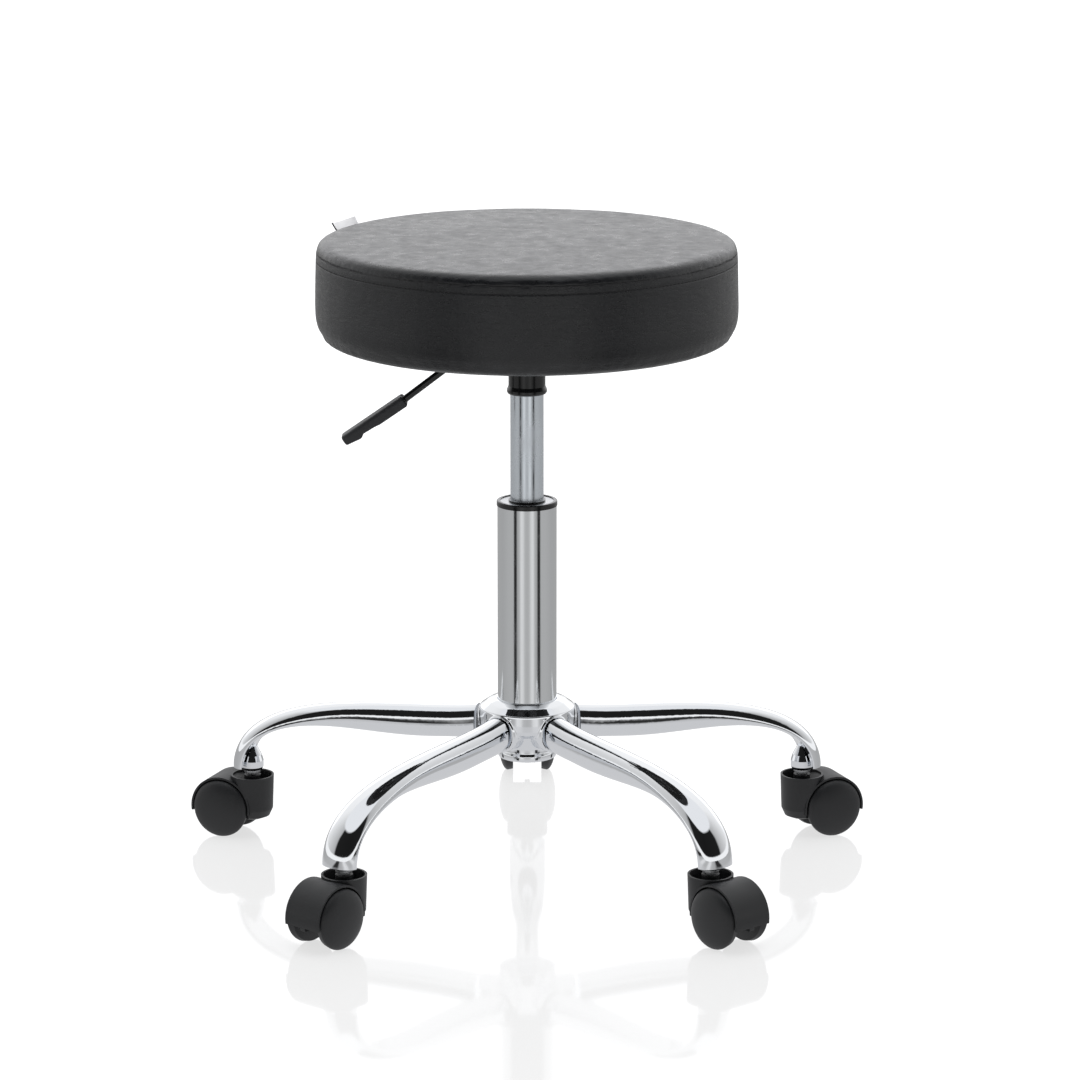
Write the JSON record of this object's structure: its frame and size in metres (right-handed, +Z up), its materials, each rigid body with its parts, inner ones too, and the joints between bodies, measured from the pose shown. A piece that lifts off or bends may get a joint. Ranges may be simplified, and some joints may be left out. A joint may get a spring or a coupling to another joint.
{
  "type": "adjustable swivel stool",
  "caption": "Round padded swivel stool on a gas-lift column with a side lever and a chrome arm base on twin-wheel casters.",
  "frame": {"origin": "point on the floor straight under the column's axis", "axes": "+Z up along the column; the release lever points along -X; one arm points along +Y"},
  "size_m": [0.5874, 0.5575, 0.5406],
  "materials": {
    "black_pu_leather": "satin",
    "seat_foam": "matte",
    "plywood": "matte",
    "dust_cloth": "matte",
    "woven_tag": "matte",
    "chrome_plate": "polished",
    "bright_steel": "satin",
    "black_steel": "gloss",
    "black_nylon": "matte",
    "black_plastic": "gloss",
    "black_rubber": "matte"
  },
  "bodies": {
    "base": {"column_tube": "chrome_plate", "column_ring": "black_plastic", "bush_retainer": "bright_steel", "guide_bush": "black_plastic", "lower_race": "bright_steel", "bearing_balls": "bright_steel", "hub": "chrome_plate", "stem_sockets": "chrome_plate", "caster_stems": "bright_steel", "leg_1": "chrome_plate", "leg_2": "chrome_plate", "leg_3": "chrome_plate", "leg_4": "chrome_plate", "leg_5": "chrome_plate"},
    "swivel": {"piston_rod": "bright_steel", "piston": "bright_steel", "piston_seal": "black_rubber", "upper_race": "bright_steel", "retaining_clip": "bright_steel", "stop_bumper": "black_rubber"},
    "lift": {"gas_cylinder": "chrome_plate", "rod_gland": "black_plastic", "mechanism_socket": "black_steel", "mechanism_plate": "black_steel", "mounting_bolts": "bright_steel", "tee_nuts": "bright_steel", "lever_bracket": "black_steel", "lever_pin": "bright_steel", "seat_board": "plywood", "seat_foam": "seat_foam", "cover_top": "black_pu_leather", "cover_band": "black_pu_leather", "base_cloth": "dust_cloth", "cover_staples": "bright_steel", "seat_label": "woven_tag"},
    "lever": {"lever_rod": "black_steel", "lever_grip": "black_nylon"},
    "valve": {"valve_pin": "bright_steel"},
    "caster_1": {"caster_hood_1": "black_nylon", "caster_axle_1": "bright_steel"},
    "wheel_1a": {"wheel_1a": "black_nylon"},
    "wheel_1b": {"wheel_1b": "black_nylon"},
    "caster_2": {"caster_hood_2": "black_nylon", "caster_axle_2": "bright_steel"},
    "wheel_2a": {"wheel_2a": "black_nylon"},
    "wheel_2b": {"wheel_2b": "black_nylon"},
    "caster_3": {"caster_hood_3": "black_nylon", "caster_axle_3": "bright_steel"},
    "wheel_3a": {"wheel_3a": "black_nylon"},
    "wheel_3b": {"wheel_3b": "black_nylon"},
    "caster_4": {"caster_hood_4": "black_nylon", "caster_axle_4": "bright_steel"},
    "wheel_4a": {"wheel_4a": "black_nylon"},
    "wheel_4b": {"wheel_4b": "black_nylon"},
    "caster_5": {"caster_hood_5": "black_nylon", "caster_axle_5": "bright_steel"},
    "wheel_5a": {"wheel_5a": "black_nylon"},
    "wheel_5b": {"wheel_5b": "black_nylon"}
  },
  "joints": [
    {"name": "seat_swivel", "type": "hinge", "parent": "base", "child": "swivel", "pos_m": [0, 0, 0.1], "axis": [0, 0, 1], "continuous": true},
    {"name": "seat_lift", "type": "slide", "parent": "swivel", "child": "lift", "axis": [0, 0, 1], "range_m": [-0.085, 0]},
    {"name": "lever_tilt", "type": "hinge", "parent": "lift", "child": "lever", "pos_m": [-0.03, 0, 0.441], "axis": [0, 1, 0], "range_deg": [0, 5], "stiffness_Nm_per_rad": 2, "springref_deg": -2.86},
    {"name": "valve_press", "type": "slide", "parent": "lift", "child": "valve", "axis": [0, 0, -1], "range_m": [0, 0.0028]},
    {"name": "caster_turn_1", "type": "hinge", "parent": "base", "child": "caster_1", "pos_m": [0.23967, 0.07787, 0.04], "axis": [0, 0, 1], "continuous": true},
    {"name": "wheel_roll_1a", "type": "hinge", "parent": "caster_1", "child": "wheel_1a", "pos_m": [0.26099, 0.08649, 0.025], "axis": [-0.3746, 0.9272, 0], "continuous": true},
    {"name": "wheel_roll_1b", "type": "hinge", "parent": "caster_1", "child": "wheel_1b", "pos_m": [0.26099, 0.08649, 0.025], "axis": [-0.3746, 0.9272, 0], "continuous": true},
    {"name": "caster_turn_2", "type": "hinge", "parent": "base", "child": "caster_2", "pos_m": [0, 0.252, 0.04], "axis": [0, 0, 1], "continuous": true},
    {"name": "wheel_roll_2a", "type": "hinge", "parent": "caster_2", "child": "wheel_2a", "pos_m": [0, 0.275, 0.025], "axis": [-1, 0, 0], "continuous": true},
    {"name": "wheel_roll_2b", "type": "hinge", "parent": "caster_2", "child": "wheel_2b", "pos_m": [0, 0.275, 0.025], "axis": [-1, 0, 0], "continuous": true},
    {"name": "caster_turn_3", "type": "hinge", "parent": "base", "child": "caster_3", "pos_m": [-0.23967, 0.07787, 0.04], "axis": [0, 0, 1], "continuous": true},
    {"name": "wheel_roll_3a", "type": "hinge", "parent": "caster_3", "child": "wheel_3a", "pos_m": [-0.26099, 0.08649, 0.025], "axis": [-0.3746, -0.9272, 0], "continuous": true},
    {"name": "wheel_roll_3b", "type": "hinge", "parent": "caster_3", "child": "wheel_3b", "pos_m": [-0.26099, 0.08649, 0.025], "axis": [-0.3746, -0.9272, 0], "continuous": true},
    {"name": "caster_turn_4", "type": "hinge", "parent": "base", "child": "caster_4", "pos_m": [-0.14812, -0.20387, 0.04], "axis": [0, 0, 1], "continuous": true},
    {"name": "wheel_roll_4a", "type": "hinge", "parent": "caster_4", "child": "wheel_4a", "pos_m": [-0.16291, -0.22149, 0.025], "axis": [0.766, -0.6428, 0], "continuous": true},
    {"name": "wheel_roll_4b", "type": "hinge", "parent": "caster_4", "child": "wheel_4b", "pos_m": [-0.16291, -0.22149, 0.025], "axis": [0.766, -0.6428, 0], "continuous": true},
    {"name": "caster_turn_5", "type": "hinge", "parent": "base", "child": "caster_5", "pos_m": [0.14812, -0.20387, 0.04], "axis": [0, 0, 1], "continuous": true},
    {"name": "wheel_roll_5a", "type": "hinge", "parent": "caster_5", "child": "wheel_5a", "pos_m": [0.16291, -0.22149, 0.025], "axis": [0.766, 0.6428, 0], "continuous": true},
    {"name": "wheel_roll_5b", "type": "hinge", "parent": "caster_5", "child": "wheel_5b", "pos_m": [0.16291, -0.22149, 0.025], "axis": [0.766, 0.6428, 0], "continuous": true}
  ],
  "couplings": [
    {"joint": "valve_press", "follows": "lever_tilt", "m_per_rad": 0.0315}
  ]
}
